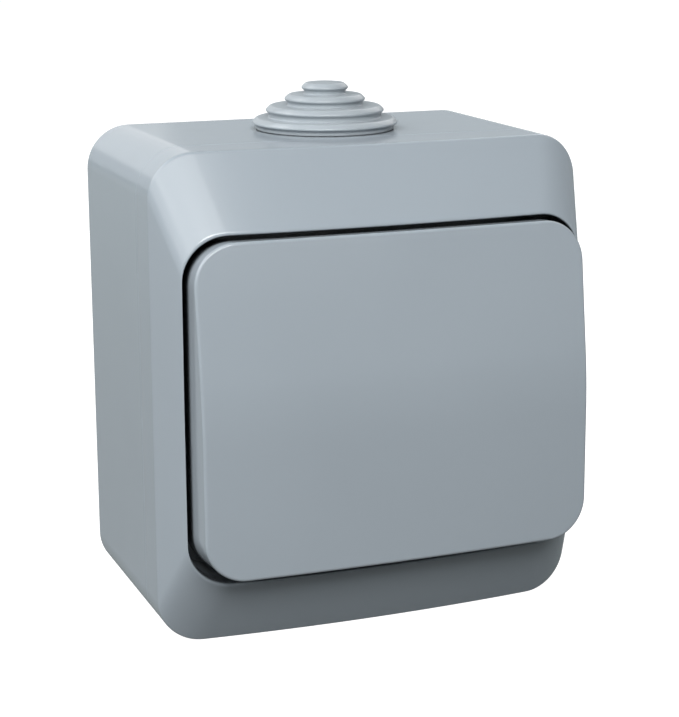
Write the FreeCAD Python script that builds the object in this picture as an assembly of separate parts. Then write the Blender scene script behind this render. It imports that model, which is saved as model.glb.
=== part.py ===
import FreeCAD, Part

import math
import os

# Outdoor weatherproof rocker switch, one gang, fixed on the surface of a wall.
# Millimetres. The origin is the middle of the wall face, +Z is up, +X is right and the front looks along -Y.
# "Depth" is the distance in front of the wall, so a point at a depth lies at y = -depth.

# Outer casing
case_width = 69.0
case_height = 75.0
case_corner_radius = 6.9
case_wall = 2.4
seam_depth = 28.84
seam_chamfer = 0.1
fit_clearance = 0.15

# Front cover: bowed about an upright axis, with bevels that rise to the lip of the tray
cover_side = 6.2
crease_bow = 2.03
crease_fillet = 0.35
bevel_rise = 7.61
lip_bow = 1.6
lip_fillet = 0.35
tray_side_wall = 2.8
tray_end_wall = 11.35
tray_corner_radius = 6.7
tray_sink = 9.65
tray_floor_thickness = 2.0
tray_wall = 2.0
bevel_wall = 2.3
slot_corner_radius = 2.0
lip_rim_thickness = 1.2
lip_rim_length = 2.0

# Rocker key: a soft V about its mid line, slightly crowned across its width
rocker_side_gap = 0.8
rocker_end_clearance = 0.22
rocker_corner_radius = 6.3
rocker_rise = 13.9
rocker_half_bend = 3.49
rocker_ridge_radius = 74.0
rocker_crown_radius = 437.0
rocker_tilt = 4.42
rocker_face_wall = 2.0
rocker_side_wall = 1.8
rocker_edge_fillet = 0.6
skirt_rise = 1.5
stop_width = 10.0
stop_gap = 0.35
trim_margin = 5.0

# Rocker hinge: a pin on each side, in an ear of the tray floor
pin_radius = 1.5
pin_clearance = 0.05
ear_thickness = 2.1
ear_rim = 1.4
ear_side_gap = 0.5
hinge_gap = 0.3
rib_thickness = 2.0
rib_end_radius = 2.1

# Post in the middle of the rocker, with the sprung plunger
post_width = 8.0
post_height = 5.0
post_end_rise = 1.0
bore_radius = 1.6
brace_thickness = 1.4
brace_rise = 5.5
plunger_radius = 1.5
plunger_hold = 5.4
plunger_tip_radius = 1.2
plunger_gap = 0.1
spring_length = 10.0
spring_wire_radius = 0.17
spring_coils = 7
spring_side_gap = 0.15
spring_end_gap = 0.05

# Rubber boot in the slot of the tray floor
boot_wall = 2.7
boot_flange = 2.5
boot_thickness = 1.2
boot_gap = 0.35

# Rocking contact lever and its fulcrum
fulcrum_radius = 0.8
fulcrum_clearance = 0.05
fulcrum_length = 3.2
lever_width = 4.0
lever_end = 0.5
lever_thickness = 1.6
lever_swing = 8.5
tip_distance = 7.5
tip_radius = 1.4
tip_thickness = 0.8
contact_clearance = 0.29

# Mechanism block
base_width = 34.0
base_height = 40.0
base_corner_radius = 2.0
base_room_front = 4.2
base_room_back = 5.6
cavity_depth = 8.0
cavity_side_gap = 1.2
cavity_end_gap = 1.8
plate_thickness = 1.6
plate_slot_gap = 0.4
ear_reach = 9.5
ear_height = 8.4
ear_set_back = 4.0
ear_plate = 3.0
rivet_radius = 1.0
rivet_head_radius = 1.8
rivet_head_height = 0.6
rivet_edge = 5.0

# Contact strips and terminals
strip_width = 4.5
strip_thickness = 0.8
strip_gap = 0.1
common_x = 11.0
terminal_end_wall = 1.3
clamp_width = 6.0
clamp_length = 5.8
clamp_height = 6.0
clamp_gap = 0.4
wire_radius = 1.4
wire_rise = 2.2
terminal_screw_radius = 1.2
terminal_head_radius = 2.1
terminal_head_height = 1.6
terminal_head_gap = 0.5
terminal_hole_gap = 0.4
terminal_screw_rest = 0.6

# Fasteners in the casing
screw_radius = 1.5
screw_clearance = 0.05
screw_head_radius = 2.75
screw_head_height = 2.0
drive_slot_width = 0.8
drive_slot_depth = 0.9
head_rounding = 0.35
cover_screw_z = 17.0
cover_screw_length = 13.0
mechanism_screw_offset = 5.5
mechanism_screw_length = 12.0
pillar_radius = 3.2
pillar_side_gap = 1.8
pillar_hole_extra = 2.0

# Wall fixing
wall_hole_radius = 3.2
wall_hole_spacing = 54.0
wall_boss_radius = 5.6
wall_boss_height = 2.6
wall_seat_radius = 4.6
wall_seat_depth = 2.0

# Parking terminal for the protective conductor
park_z = 22.0
park_width = 8.0
park_height = 7.0
park_depth = 7.0
park_side_gap = 1.0
park_seat = 2.0
park_rib = 1.0
park_rib_height = 6.0
park_gap = 0.1
park_screw_spacing = 4.2

# Cable entry in the top wall, and the stepped rings of its grommet from the lowest up
entry_gap = 2.96
entry_front_gap = 1.48
grommet_flange_lap = 1.4
grommet_flange_thickness = 1.1
grommet_wall = 1.1
base_ring_lap = 1.88
upper_ring_radii = [9.30, 6.34, 3.66]
ring_heights = [1.05, 3.08, 4.82, 6.60]
ring_rim_slope = 0.66
ring_rim_rise = 0.64
ring_rim_edge = 0.25
ring_neck_inset = 0.42
ring_neck_drop = 0.62
knock_out_radius = 9.0
knock_out_skin = 1.0
knock_out_groove = 0.8

# Gasket between box and cover
gasket_width = 1.0
gasket_height = 1.0

# Depths of the cover and the rocker
crease_depth = seam_depth + cover_side
lip_depth = crease_depth + bevel_rise
tray_floor_depth = lip_depth - tray_sink
pan_back_depth = tray_floor_depth - tray_floor_thickness
pivot_depth = tray_floor_depth + rib_end_radius + hinge_gap
tilt_sine = math.sin(math.radians(rocker_tilt))

# Depths of the mechanism, down from the boot and up from the box floor
base_front_depth = pan_back_depth - boot_thickness - base_room_front - plate_thickness
base_back_depth = case_wall + base_room_back
cavity_floor_depth = base_front_depth - cavity_depth
ear_back_depth = base_front_depth - ear_set_back - ear_plate
strip_front_depth = cavity_floor_depth + strip_thickness
clamp_front_depth = strip_front_depth + clamp_height
swing_angle = math.radians(lever_swing)
tip_drop = tip_thickness * math.cos(swing_angle) + (tip_distance + tip_radius) * math.sin(swing_angle)
fulcrum_depth = strip_front_depth + tip_thickness + contact_clearance + tip_drop
lever_front_depth = fulcrum_depth + lever_thickness

# Lengths along the post, measured back from the rocker's pivot
post_reach = pivot_depth - base_front_depth - post_end_rise
plunger_end = pivot_depth - lever_front_depth - plunger_gap
plunger_start = post_reach - plunger_hold
bore_start = plunger_start - spring_length

# Widths and heights
half_width = case_width / 2
half_height = case_height / 2
tray_width = case_width - 2 * tray_side_wall
tray_height = case_height - 2 * tray_end_wall
tray_half_width = tray_width / 2
tray_half_height = tray_height / 2
rocker_half_width = tray_half_width - rocker_side_gap
rocker_half_height = tray_half_height - rocker_rise * tilt_sine - rocker_end_clearance
boot_swing = (pivot_depth - pan_back_depth + boot_thickness) * tilt_sine
boot_hole_width = post_width + 2 * boot_gap
boot_hole_height = post_height + 2 * (boot_swing + boot_gap)
slot_width = boot_hole_width + 2 * boot_wall
slot_height = boot_hole_height + 2 * boot_wall
lever_length = 2 * (tip_distance + tip_radius + lever_end)
cavity_width = lever_width + 2 * cavity_side_gap
cavity_height = lever_length + 2 * cavity_end_gap
rivet_x = base_width / 2 - rivet_edge
rivet_z = base_height / 2 - rivet_edge
terminal_z = base_height / 2 - terminal_end_wall - clamp_gap - clamp_length / 2
cover_screw_x = base_width / 2 + pillar_side_gap + pillar_radius
mechanism_screw_x = base_width / 2 + mechanism_screw_offset
park_x = base_width / 2 + park_side_gap + park_width / 2
grommet_flange_radius = (seam_depth - case_wall - entry_gap - entry_front_gap) / 2
entry_hole_radius = grommet_flange_radius - grommet_flange_lap
entry_depth = case_wall + entry_gap + grommet_flange_radius
ring_radii = [entry_hole_radius + base_ring_lap] + upper_ring_radii

# Places of what comes more than once
terminal_spots = [(0.0, terminal_z), (0.0, -terminal_z), (-common_x, terminal_z)]
cover_screw_spots = [(-cover_screw_x, cover_screw_z), (cover_screw_x, -cover_screw_z)]
mechanism_screw_spots = [(-mechanism_screw_x, 0.0), (mechanism_screw_x, 0.0)]
park_screw_spots = [(park_x - park_screw_spacing / 2, park_z), (park_x + park_screw_spacing / 2, park_z)]
pivot = FreeCAD.Vector(0, -pivot_depth, 0)
along_x = FreeCAD.Vector(1, 0, 0)
to_front = FreeCAD.Vector(0, -1, 0)
upward = FreeCAD.Vector(0, 0, 1)
near = 0.01


def at(x, depth, z):
    return FreeCAD.Vector(x, -depth, z)


def box(x_low, x_high, depth_low, depth_high, z_low, z_high):
    corner = at(x_low, depth_high, z_low)
    return Part.makeBox(x_high - x_low, depth_high - depth_low, z_high - z_low, corner)


def rod(x, z, radius, depth_low, depth_high):
    return Part.makeCylinder(radius, depth_high - depth_low, at(x, depth_low, z), to_front)


# A rounded rectangle of eight edges, whose depth falls off from the middle to the sides by the bow
def outline(width_half, height_half, radius, side_depth, bow=0.0):
    def point(x, z):
        return at(x, side_depth + bow * (1 - (x / width_half) ** 2), z)

    inner_x = width_half - radius
    inner_z = height_half - radius
    corner_x = inner_x + radius * math.sqrt(0.5)
    corner_z = inner_z + radius * math.sqrt(0.5)
    edges = []
    for turn, (side, end) in enumerate([(1, 1), (1, -1), (-1, -1), (-1, 1)]):
        on_end = point(side * inner_x, end * height_half)
        on_side = point(side * width_half, end * inner_z)
        middle = point(side * corner_x, end * corner_z)
        if turn % 2 == 0:
            edges.append(Part.Arc(on_end, middle, on_side).toShape())
            edges.append(Part.makeLine(on_side, point(side * width_half, -end * inner_z)))
        else:
            edges.append(Part.Arc(on_side, middle, on_end).toShape())
            far = point(-side * inner_x, end * height_half)
            if bow:
                edges.append(Part.Arc(on_end, point(0.0, end * height_half), far).toShape())
            else:
                edges.append(Part.makeLine(on_end, far))
    return Part.Wire(edges)


def slab(width_half, height_half, radius, depth_low, depth_high):
    face = Part.Face(outline(width_half, height_half, radius, depth_low))
    return face.extrude(at(0, depth_high - depth_low, 0))


# A screw whose head bears on bearing_depth, with a straight drive slot
def screw(x, z, bearing_depth, length, radius, head_radius, head_height):
    shank = rod(x, z, radius, bearing_depth - length, bearing_depth)
    head = rod(x, z, head_radius, bearing_depth, bearing_depth + head_height)
    top = bearing_depth + head_height
    rim = [edge for edge in head.Edges if abs(edge.CenterOfMass.y + top) < near]
    head = head.makeFillet(head_height * head_rounding, rim)
    slot = box(x - head_radius, x + head_radius, top - drive_slot_depth, top + 1,
               z - drive_slot_width / 2, z + drive_slot_width / 2)
    return shank.fuse(head).cut(slot)


# Tilts a shape from the rocker's level pose to its rest, with the top pressed in
def rest_tilt(shape):
    tilted = shape.copy()
    tilted.rotate(pivot, along_x, -rocker_tilt)
    return tilted


# Turns a shape from the lever's level pose to its rest, with the lower contact closed
def lever_tilt(shape):
    tilted = shape.copy()
    tilted.rotate(at(0, fulcrum_depth, 0), along_x, lever_swing)
    return tilted


def save(name, shape):
    shape.exportStep("parts/" + name + ".step")


def gasket_ring(height):
    middle = case_wall / 2
    outer = middle - gasket_width / 2
    inner = middle + gasket_width / 2
    ring = slab(half_width - outer, half_height - outer, case_corner_radius - outer,
                seam_depth - height, seam_depth)
    return ring.cut(slab(half_width - inner, half_height - inner, case_corner_radius - inner,
                         seam_depth - height - 1, seam_depth + 1))


# Wall box with its pillars, wall screw seats, cable entry and knock-out
def back_box():
    body = slab(half_width, half_height, case_corner_radius, 0, seam_depth)
    rims = [edge for edge in body.Edges if abs(edge.CenterOfMass.y + seam_depth) < near]
    body = body.makeChamfer(seam_chamfer, rims)
    body = body.cut(slab(half_width - case_wall, half_height - case_wall, case_corner_radius - case_wall,
                         case_wall, seam_depth + 1))
    body = body.cut(gasket_ring(gasket_height))

    for x, z in cover_screw_spots:
        body = body.fuse(rod(x, z, pillar_radius, case_wall, pan_back_depth))
        hole_end = tray_floor_depth - cover_screw_length - pillar_hole_extra
        body = body.cut(rod(x, z, screw_radius + screw_clearance, hole_end, pan_back_depth + 1))
    for x, z in mechanism_screw_spots:
        body = body.fuse(rod(x, z, pillar_radius, case_wall, ear_back_depth))
        hole_end = ear_back_depth + ear_plate - mechanism_screw_length - pillar_hole_extra
        body = body.cut(rod(x, z, screw_radius + screw_clearance, hole_end, ear_back_depth + 1))

    boss_top = case_wall + wall_boss_height
    for z in (-wall_hole_spacing / 2, wall_hole_spacing / 2):
        body = body.fuse(rod(0, z, wall_boss_radius, case_wall, boss_top))
        body = body.cut(rod(0, z, wall_hole_radius, -1, boss_top + 1))
        body = body.cut(rod(0, z, wall_seat_radius, boss_top - wall_seat_depth, boss_top + 1))

    x_low = park_x - park_width / 2
    x_high = park_x + park_width / 2
    rib_in = park_height / 2 + park_gap
    rib_out = rib_in + park_rib
    body = body.fuse(box(x_low, x_high, case_wall, case_wall + park_seat, park_z - rib_out, park_z + rib_out))
    for side in (-1, 1):
        z_low, z_high = sorted((park_z + side * rib_in, park_z + side * rib_out))
        rib_top = case_wall + park_seat + park_rib_height
        body = body.fuse(box(x_low, x_high, case_wall, rib_top, z_low, z_high))

    body = body.cut(Part.makeCylinder(entry_hole_radius, case_wall + 2,
                                      at(0, entry_depth, half_height - case_wall - 1), upward))
    groove_foot = at(0, entry_depth, -half_height + knock_out_skin)
    ring = Part.makeCylinder(knock_out_radius, case_wall, groove_foot, upward)
    core = Part.makeCylinder(knock_out_radius - knock_out_groove, case_wall * 2,
                             at(0, entry_depth, -half_height), upward)
    return body.cut(ring.cut(core)).removeSplitter()


# Soft stepped grommet, gripped by the top wall and closed until a cable is passed
def cable_grommet():
    top_face = half_height
    under_wall = half_height - case_wall
    points = []
    shelves = [top_face + height + ring_rim_rise for height in ring_heights]
    for index, (radius, height) in enumerate(zip(ring_radii, ring_heights)):
        widest = top_face + height
        if index:
            points.append((radius - ring_neck_inset, shelves[index - 1]))
            points.append((radius - ring_neck_inset, widest - ring_neck_drop))
        else:
            points.append((radius - ring_neck_inset, top_face))
        points.append((radius, widest - ring_rim_edge))
        points.append((radius, widest))
        points.append((radius - ring_rim_slope, shelves[index]))
    points.append((0, shelves[-1]))
    points.append((0, shelves[-1] - grommet_wall))
    for index in range(len(ring_radii) - 1, 0, -1):
        inner = ring_radii[index] - ring_neck_inset - grommet_wall
        points.append((inner, shelves[index] - grommet_wall))
        points.append((inner, shelves[index - 1] - grommet_wall))
    bore = entry_hole_radius - grommet_wall
    points.append((bore, shelves[0] - grommet_wall))
    points.append((bore, under_wall - grommet_flange_thickness))
    points.append((grommet_flange_radius, under_wall - grommet_flange_thickness))
    points.append((grommet_flange_radius, under_wall))
    points.append((entry_hole_radius, under_wall))
    points.append((entry_hole_radius, top_face))
    points.append(points[0])
    corners = [FreeCAD.Vector(radius, -entry_depth, z) for radius, z in points]
    profile = Part.Face(Part.makePolygon(corners))
    return profile.revolve(at(0, entry_depth, 0), upward, 360)


# The cover's outer form with the tray sunk into it, as one ruled skin through five outlines
def cover_block():
    outlines = [
        outline(half_width - seam_chamfer, half_height - seam_chamfer, case_corner_radius - seam_chamfer,
                seam_depth),
        outline(half_width, half_height, case_corner_radius, seam_depth + seam_chamfer),
        outline(half_width, half_height, case_corner_radius, crease_depth, crease_bow),
        outline(tray_half_width, tray_half_height, tray_corner_radius, lip_depth, lip_bow),
        outline(tray_half_width, tray_half_height, tray_corner_radius, tray_floor_depth),
    ]
    return Part.makeLoft(outlines, True, True)


# Both ends of the edge lie on the sides of an outline, within the depths
def is_on_outline(edge, width_half, height_half, depth_low, depth_high):
    points = [vertex.Point for vertex in edge.Vertexes]
    inside = all(depth_low - near < -point.y < depth_high + near for point in points)
    on_line = all(abs(abs(point.x) - width_half) < near or abs(abs(point.z) - height_half) < near
                  for point in points)
    return inside and on_line


def front_cover():
    block = cover_block()
    lip_edges = [edge for edge in block.Edges
                 if is_on_outline(edge, tray_half_width, tray_half_height, lip_depth, lip_depth + lip_bow)]
    body = block.makeFillet(lip_fillet, lip_edges)
    crease_edges = [edge for edge in body.Edges
                    if is_on_outline(edge, half_width, half_height, crease_depth, crease_depth + crease_bow)]
    body = body.makeFillet(crease_fillet, crease_edges)

    inner_radius = case_corner_radius - case_wall
    body = body.cut(slab(half_width - case_wall, half_height - case_wall, inner_radius,
                         seam_depth - 1, pan_back_depth))
    hollow = block.copy()
    hollow.translate(at(0, -bevel_wall, 0))
    around_tray = slab(half_width - case_wall, half_height - case_wall, inner_radius,
                       pan_back_depth - 1, lip_depth + lip_bow)
    around_tray = around_tray.cut(slab(half_width, tray_half_height + tray_wall, tray_corner_radius,
                                       seam_depth, lip_depth + lip_bow + 1))
    body = body.cut(hollow.common(around_tray))

    rim_out = case_wall + fit_clearance
    rim_in = rim_out + lip_rim_thickness
    rim = slab(half_width - rim_out, half_height - rim_out, case_corner_radius - rim_out,
               seam_depth - lip_rim_length, pan_back_depth)
    rim = rim.cut(slab(half_width - rim_in, half_height - rim_in, case_corner_radius - rim_in,
                       seam_depth - lip_rim_length - 1, pan_back_depth + 1))
    rim = rim.common(slab(tray_half_width + tray_wall, tray_half_height, case_wall, 0, pan_back_depth))
    body = body.fuse(rim)

    ear_out = rocker_half_width - rocker_side_wall - ear_side_gap
    for side in (-1, 1):
        x_low, x_high = sorted((side * (ear_out - ear_thickness), side * ear_out))
        half = pin_radius + pin_clearance + ear_rim
        ear = box(x_low, x_high, tray_floor_depth, pivot_depth, -half, half)
        ear = ear.fuse(Part.makeCylinder(half, ear_thickness, at(x_low, pivot_depth, 0), along_x))
        ear = ear.cut(Part.makeCylinder(pin_radius + pin_clearance, ear_thickness + 2,
                                        at(x_low - 1, pivot_depth, 0), along_x))
        body = body.fuse(ear)
        stop_z = side * (rocker_half_height - rocker_side_wall / 2)
        skirt_end = pivot_depth + skirt_rise - rocker_half_height * tilt_sine
        body = body.fuse(box(-stop_width / 2, stop_width / 2, tray_floor_depth, skirt_end - stop_gap,
                             stop_z - rocker_side_wall / 2, stop_z + rocker_side_wall / 2))

    body = body.cut(slab(slot_width / 2, slot_height / 2, slot_corner_radius,
                         pan_back_depth - 1, tray_floor_depth + 1))
    for x, z in cover_screw_spots:
        body = body.cut(rod(x, z, screw_radius + fit_clearance, pan_back_depth - 1, tray_floor_depth + 1))
    return body.removeSplitter()


def cover_gasket():
    return gasket_ring(gasket_height)


# The rocker's form inside its side walls: a soft V turned about an upright axis far behind it
def rocker_form(inset_side, inset_face, back_rise):
    reach = rocker_half_height + trim_margin
    slope = math.radians(rocker_half_bend)
    tangent_z = rocker_ridge_radius * math.sin(slope)
    # the ridge is an arc tangent to both slopes, with its top at the rocker's rise
    top = rocker_rise - inset_face
    tangent_drop = rocker_ridge_radius * (1 - math.cos(slope))
    end_drop = tangent_drop + (reach - tangent_z) * math.tan(slope)

    def face_point(rise, z):
        return at(0, pivot_depth + rise, z)

    ridge = Part.Arc(face_point(top - tangent_drop, -tangent_z), face_point(top, 0),
                     face_point(top - tangent_drop, tangent_z)).toShape()
    upper = Part.makeLine(face_point(top - tangent_drop, tangent_z), face_point(top - end_drop, reach))
    lower = Part.makeLine(face_point(top - end_drop, -reach), face_point(top - tangent_drop, -tangent_z))
    back_low = face_point(back_rise, -reach)
    back_high = face_point(back_rise, reach)
    profile = Part.Face(Part.Wire([
        lower, ridge, upper,
        Part.makeLine(face_point(top - end_drop, reach), back_high),
        Part.makeLine(back_high, back_low),
        Part.makeLine(back_low, face_point(top - end_drop, -reach)),
    ]))
    turn = 2 * math.degrees(math.asin((rocker_half_width + trim_margin) / rocker_crown_radius))
    axis = at(0, pivot_depth + rocker_rise - rocker_crown_radius, 0)
    profile.rotate(axis, upward, -turn / 2)
    crowned = profile.revolve(axis, upward, turn)
    sides = slab(rocker_half_width - inset_side, rocker_half_height - inset_side,
                 rocker_corner_radius - inset_side, pivot_depth + skirt_rise, pivot_depth + rocker_rise + 1)
    return crowned.common(sides)


# An edge between the rocker's face and its sides runs across the sides, not along their depth
def is_front_rim(edge, depth_low, depth_high):
    first = edge.Vertexes[0].Point
    last = edge.Vertexes[-1].Point
    on_sides = is_on_outline(edge, rocker_half_width, rocker_half_height, depth_low, depth_high)
    return on_sides and math.hypot(first.x - last.x, first.z - last.z) > near


# Rocker key with its hinge pins, post and braces, made level and then tilted to its rest
def rocker():
    back_rise = skirt_rise - 1
    shell = rocker_form(0, 0, back_rise)
    front = pivot_depth + rocker_rise
    rim_back = pivot_depth + skirt_rise + rocker_side_wall
    rim = [edge for edge in shell.Edges if is_front_rim(edge, rim_back, front)]
    shell = shell.makeFillet(rocker_edge_fillet, rim)
    shell = shell.cut(rocker_form(rocker_side_wall, rocker_face_wall, back_rise))

    post = box(-post_width / 2, post_width / 2, pivot_depth - post_reach, front,
               -post_height / 2, post_height / 2)
    braces = box(-rocker_half_width, rocker_half_width, pivot_depth + brace_rise, front,
                 -brace_thickness / 2, brace_thickness / 2)
    braces = braces.fuse(box(-brace_thickness / 2, brace_thickness / 2, pivot_depth + brace_rise, front,
                             -rocker_half_height, rocker_half_height))
    inside = rocker_form(rocker_side_wall / 2, rocker_face_wall / 2, back_rise)
    ear_out = rocker_half_width - rocker_side_wall - ear_side_gap
    rib_out = ear_out - ear_thickness - hinge_gap
    ribs = []
    for side in (-1, 1):
        x_low, x_high = sorted((side * (rib_out - rib_thickness), side * rib_out))
        plate = box(x_low, x_high, pivot_depth, front, -rib_end_radius, rib_end_radius)
        foot = at(x_low, pivot_depth, 0)
        plate = plate.fuse(Part.makeCylinder(rib_end_radius, rib_thickness, foot, along_x))
        pin_low, pin_high = sorted((side * (rib_out - rib_thickness / 2), side * (ear_out - hinge_gap / 2)))
        pin = Part.makeCylinder(pin_radius, pin_high - pin_low, at(pin_low, pivot_depth, 0), along_x)
        ribs.append((plate, pin))

    front_room = slab(rocker_half_width, rocker_half_height, rocker_corner_radius,
                      pivot_depth - post_reach - 1, pivot_depth + skirt_rise)
    kept = inside.fuse(front_room)
    body = shell.fuse(post.common(kept)).fuse(braces.common(inside))
    for plate, pin in ribs:
        body = body.fuse(plate.common(kept)).fuse(pin)
    body = body.cut(rod(0, 0, bore_radius, pivot_depth - post_reach - 1, pivot_depth - bore_start))
    return rest_tilt(body.removeSplitter())


def plunger():
    neck = plunger_end - plunger_tip_radius
    body = rod(0, 0, plunger_radius, pivot_depth - neck + plunger_radius / 2, pivot_depth - plunger_start)
    body = body.fuse(rod(0, 0, plunger_tip_radius, pivot_depth - neck, pivot_depth - neck + plunger_radius))
    body = body.fuse(Part.makeSphere(plunger_tip_radius, at(0, pivot_depth - neck, 0)))
    return rest_tilt(body.removeSplitter())


# Compression spring between the bottom of the post's bore and the plunger
def plunger_spring():
    start = pivot_depth - plunger_start + spring_wire_radius + spring_end_gap
    end = pivot_depth - bore_start - spring_wire_radius - spring_end_gap
    radius = bore_radius - spring_side_gap - spring_wire_radius
    helix = Part.makeHelix((end - start) / spring_coils, end - start, radius)
    wire_start = FreeCAD.Vector(radius, 0, 0)
    section = Part.Wire(Part.makeCircle(spring_wire_radius, wire_start, FreeCAD.Vector(0, 1, 0)))
    spring = Part.Wire(helix).makePipeShell([section], True, True)
    spring.rotate(FreeCAD.Vector(0, 0, 0), along_x, 90)
    spring.translate(at(0, start, 0))
    return rest_tilt(spring)


# Boot whose groove grips the slot's edge, with room for the post to swing
def rocker_boot():
    half_w = slot_width / 2
    half_h = slot_height / 2
    wide_w = half_w + boot_flange
    wide_h = half_h + boot_flange
    wide_r = slot_corner_radius + boot_flange
    body = slab(half_w, half_h, slot_corner_radius, pan_back_depth, tray_floor_depth)
    body = body.fuse(slab(wide_w, wide_h, wide_r, tray_floor_depth, tray_floor_depth + boot_thickness))
    body = body.fuse(slab(wide_w, wide_h, wide_r, pan_back_depth - boot_thickness, pan_back_depth))
    hole = box(-boot_hole_width / 2, boot_hole_width / 2, pan_back_depth - boot_thickness - 1,
               tray_floor_depth + boot_thickness + 1, -boot_hole_height / 2, boot_hole_height / 2)
    return body.cut(hole).removeSplitter()


def clamp_pocket(x, z):
    half_x = clamp_width / 2 + clamp_gap
    half_z = clamp_length / 2 + clamp_gap
    return box(x - half_x, x + half_x, cavity_floor_depth, base_front_depth + 1, z - half_z, z + half_z)


# The common strip: across the block from the fulcrum, then up to its terminal
def common_strip(gap, front_depth):
    half = strip_width / 2 + gap
    end_z = terminal_z + clamp_length / 2 + gap
    across = box(-common_x - half, fulcrum_length / 2 + gap, cavity_floor_depth, front_depth, -half, half)
    upright = box(-common_x - half, -common_x + half, cavity_floor_depth, front_depth, -half, end_z)
    return across.fuse(upright)


def way_strip(side, gap, front_depth):
    half = strip_width / 2 + gap
    inner_end = tip_distance - tip_radius - gap
    outer_end = terminal_z + clamp_length / 2 + gap
    z_low, z_high = sorted((side * inner_end, side * outer_end))
    return box(-half, half, cavity_floor_depth, front_depth, z_low, z_high)


def mechanism_base():
    body = slab(base_width / 2, base_height / 2, base_corner_radius, base_back_depth, base_front_depth)
    for side in (-1, 1):
        x_low, x_high = sorted((side * (base_width / 2 - 1), side * (base_width / 2 + ear_reach)))
        body = body.fuse(box(x_low, x_high, ear_back_depth, ear_back_depth + ear_plate,
                             -ear_height / 2, ear_height / 2))
    body = body.cut(box(-cavity_width / 2, cavity_width / 2, cavity_floor_depth, base_front_depth + 1,
                        -cavity_height / 2, cavity_height / 2))
    body = body.cut(common_strip(strip_gap, base_front_depth + 1))
    for side in (-1, 1):
        body = body.cut(way_strip(side, strip_gap, base_front_depth + 1))
    for x, z in terminal_spots:
        body = body.cut(clamp_pocket(x, z))
        outward = upward if z > 0 else -upward
        wire_start = at(x, strip_front_depth + wire_rise, z)
        body = body.cut(Part.makeCylinder(wire_radius, base_height / 2, wire_start, outward))
    for x, z in mechanism_screw_spots:
        body = body.cut(rod(x, z, screw_radius + fit_clearance,
                            ear_back_depth - 1, ear_back_depth + ear_plate + 1))
    for side in (-1, 1):
        body = body.cut(rod(side * rivet_x, side * rivet_z, rivet_radius,
                            base_back_depth - 1, base_front_depth + 1))
    return body.removeSplitter()


def mechanism_plate():
    back = base_front_depth
    front = base_front_depth + plate_thickness
    body = slab(base_width / 2, base_height / 2, base_corner_radius, back, front)
    swing = (pivot_depth - back) * tilt_sine
    slot_w = post_width / 2 + plate_slot_gap
    slot_h = post_height / 2 + swing + plate_slot_gap
    body = body.cut(box(-slot_w, slot_w, back - 1, front + 1, -slot_h, slot_h))
    for x, z in terminal_spots:
        body = body.cut(rod(x, z, terminal_head_radius + terminal_hole_gap, back - 1, front + 1))
    for side in (-1, 1):
        body = body.cut(rod(side * rivet_x, side * rivet_z, rivet_radius, back - 1, front + 1))
    return body.removeSplitter()


def plate_rivets():
    front = base_front_depth + plate_thickness
    rivets = []
    for side in (-1, 1):
        x = side * rivet_x
        z = side * rivet_z
        rivet = rod(x, z, rivet_radius, base_back_depth, front)
        rivet = rivet.fuse(rod(x, z, rivet_head_radius, front, front + rivet_head_height))
        rivet = rivet.fuse(rod(x, z, rivet_head_radius, base_back_depth - rivet_head_height, base_back_depth))
        rivets.append(rivet.removeSplitter())
    return Part.makeCompound(rivets)


# Brass bridge with a half-round seat for the fulcrum on its back
def contact_lever():
    body = box(-lever_width / 2, lever_width / 2, fulcrum_depth, lever_front_depth,
               -lever_length / 2, lever_length / 2)
    seat = Part.makeCylinder(fulcrum_radius + fulcrum_clearance, lever_width + 2,
                             at(-lever_width / 2 - 1, fulcrum_depth, 0), along_x)
    return lever_tilt(body.cut(seat))


def lever_tips():
    tips = [rod(0, side * tip_distance, tip_radius, fulcrum_depth - tip_thickness, fulcrum_depth)
            for side in (-1, 1)]
    return lever_tilt(Part.makeCompound(tips))


def fixed_tips():
    return Part.makeCompound([
        rod(0, side * tip_distance, tip_radius, strip_front_depth, strip_front_depth + tip_thickness)
        for side in (-1, 1)])


def common_contact():
    half = fulcrum_length / 2
    body = common_strip(0, strip_front_depth)
    body = body.fuse(box(-half, half, strip_front_depth, fulcrum_depth, -fulcrum_radius, fulcrum_radius))
    body = body.fuse(Part.makeCylinder(fulcrum_radius, fulcrum_length, at(-half, fulcrum_depth, 0), along_x))
    return body.removeSplitter()


# One brass block for each terminal, with a wire hole and a tapped hole
def clamp_block(x, z, half_x, half_z, back_depth, front_depth, screws, wire_axis):
    body = box(x - half_x, x + half_x, back_depth, front_depth, z - half_z, z + half_z)
    reach = 2 * max(half_x, half_z)
    middle = at(x, back_depth + wire_rise, z) - wire_axis * reach
    body = body.cut(Part.makeCylinder(wire_radius, 2 * reach, middle, wire_axis))
    for screw_x, screw_z in screws:
        body = body.cut(rod(screw_x, screw_z, terminal_screw_radius + screw_clearance,
                            back_depth + wire_rise, front_depth + 1))
    return body


def terminal_clamps():
    return Part.makeCompound([
        clamp_block(x, z, clamp_width / 2, clamp_length / 2, strip_front_depth, clamp_front_depth,
                    [(x, z)], upward)
        for x, z in terminal_spots])


def terminal_screw(x, z, block_front, block_back):
    bearing = block_front + terminal_head_gap
    length = bearing - block_back - wire_rise - terminal_screw_rest
    return screw(x, z, bearing, length, terminal_screw_radius, terminal_head_radius, terminal_head_height)


def terminal_screws():
    return Part.makeCompound([
        terminal_screw(x, z, clamp_front_depth, strip_front_depth) for x, z in terminal_spots])


def park_terminal():
    back = case_wall + park_seat
    return clamp_block(park_x, park_z, park_width / 2, park_height / 2, back, back + park_depth,
                       park_screw_spots, along_x)


def park_screws():
    back = case_wall + park_seat
    return Part.makeCompound([terminal_screw(x, z, back + park_depth, back) for x, z in park_screw_spots])


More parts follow.
